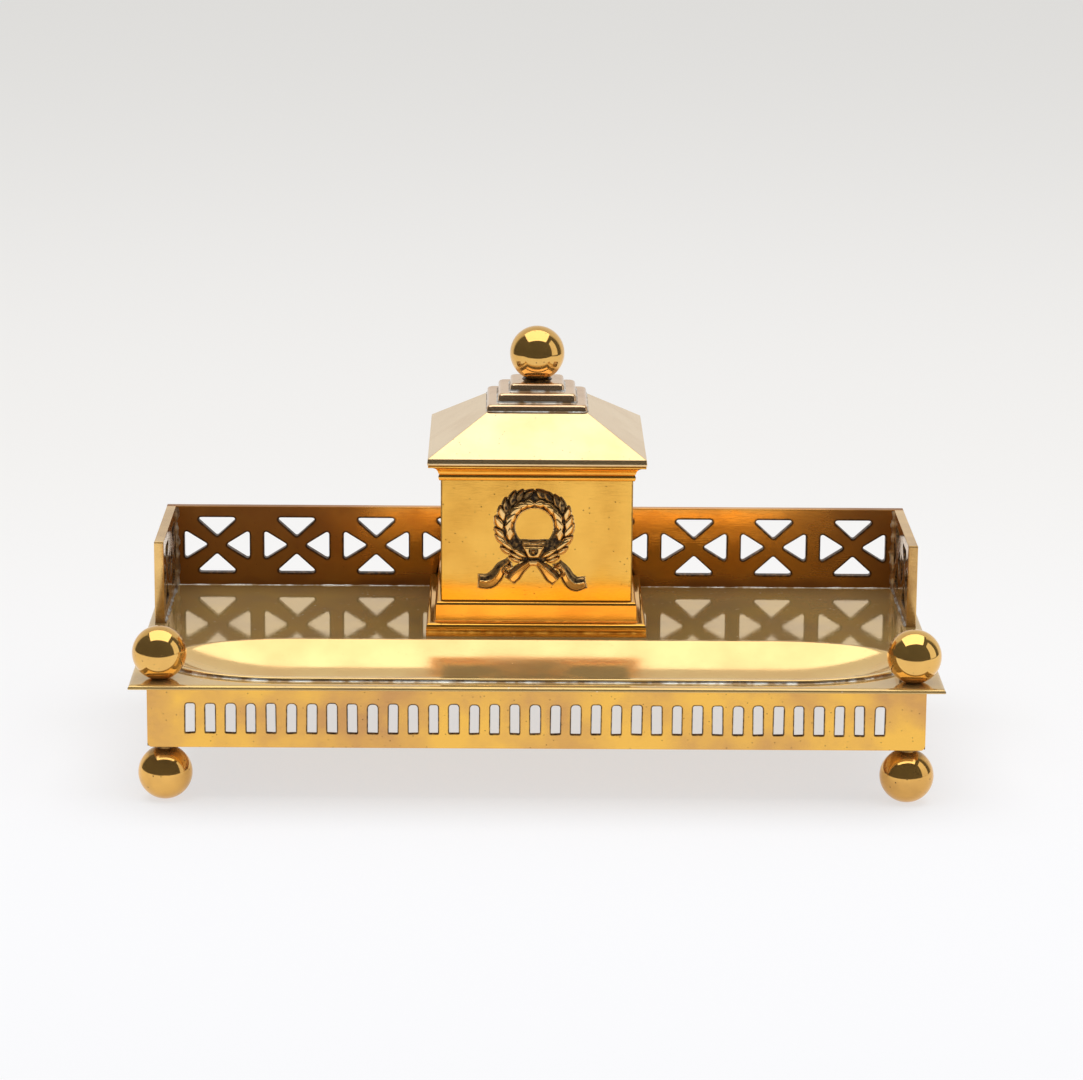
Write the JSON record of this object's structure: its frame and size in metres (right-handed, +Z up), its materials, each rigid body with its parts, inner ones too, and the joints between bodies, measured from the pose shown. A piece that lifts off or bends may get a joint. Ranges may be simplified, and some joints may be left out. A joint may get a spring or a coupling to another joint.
{
  "type": "desk inkstand",
  "caption": "Brass desk inkstand: pierced tray on ball feet with a sunk pen pan, a low pierced gallery and a square inkwell under a hinged, stepped lid.",
  "frame": {"origin": "on the table, under the middle of the tray", "axes": "+X along the tray to the viewer's right, +Y to the gallery at the back, +Z up"},
  "size_m": [0.25, 0.132, 0.1329],
  "materials": {
    "tray_brass": "polished, with fine scratches",
    "ball_brass": "polished, with fine scratches",
    "pan_brass": "polished, with fine scratches",
    "gallery_brass": "cast and polished, with dull edges",
    "well_brass": "polished, with fine scratches",
    "pot_glass": "clear pressed glass",
    "wreath_brass": "cast and chased, dark in its hollows",
    "lid_brass": "polished, with fine scratches",
    "hinge_brass": "polished, with fine scratches"
  },
  "bodies": {
    "stand": {"tray_plate": "tray_brass", "front_apron": "tray_brass", "rear_apron": "tray_brass", "left_apron": "tray_brass", "right_apron": "tray_brass", "corner_gussets": "tray_brass", "ball_feet": "ball_brass", "corner_balls": "ball_brass", "pen_pan": "pan_brass", "back_gallery": "gallery_brass", "left_gallery": "gallery_brass", "right_gallery": "gallery_brass", "well_body": "well_brass", "well_floor": "well_brass", "base_front_moulding": "well_brass", "base_left_moulding": "well_brass", "base_right_moulding": "well_brass", "cornice_front": "well_brass", "cornice_back": "well_brass", "cornice_left": "well_brass", "cornice_right": "well_brass", "glass_pot": "pot_glass", "wreath": "wreath_brass", "hinge_well_leaf": "hinge_brass", "hinge_pin": "hinge_brass"},
    "lid": {"lid_shell": "lid_brass", "lid_step_large": "lid_brass", "lid_step_middle": "lid_brass", "lid_step_small": "lid_brass", "finial_ball": "ball_brass", "hinge_lid_leaf": "hinge_brass"}
  },
  "joints": [
    {"name": "lid_hinge", "type": "hinge", "parent": "stand", "child": "lid", "pos_m": [0, 0.0644, 0.09424], "axis": [-1, 0, 0], "range_deg": [0, 105]}
  ]
}
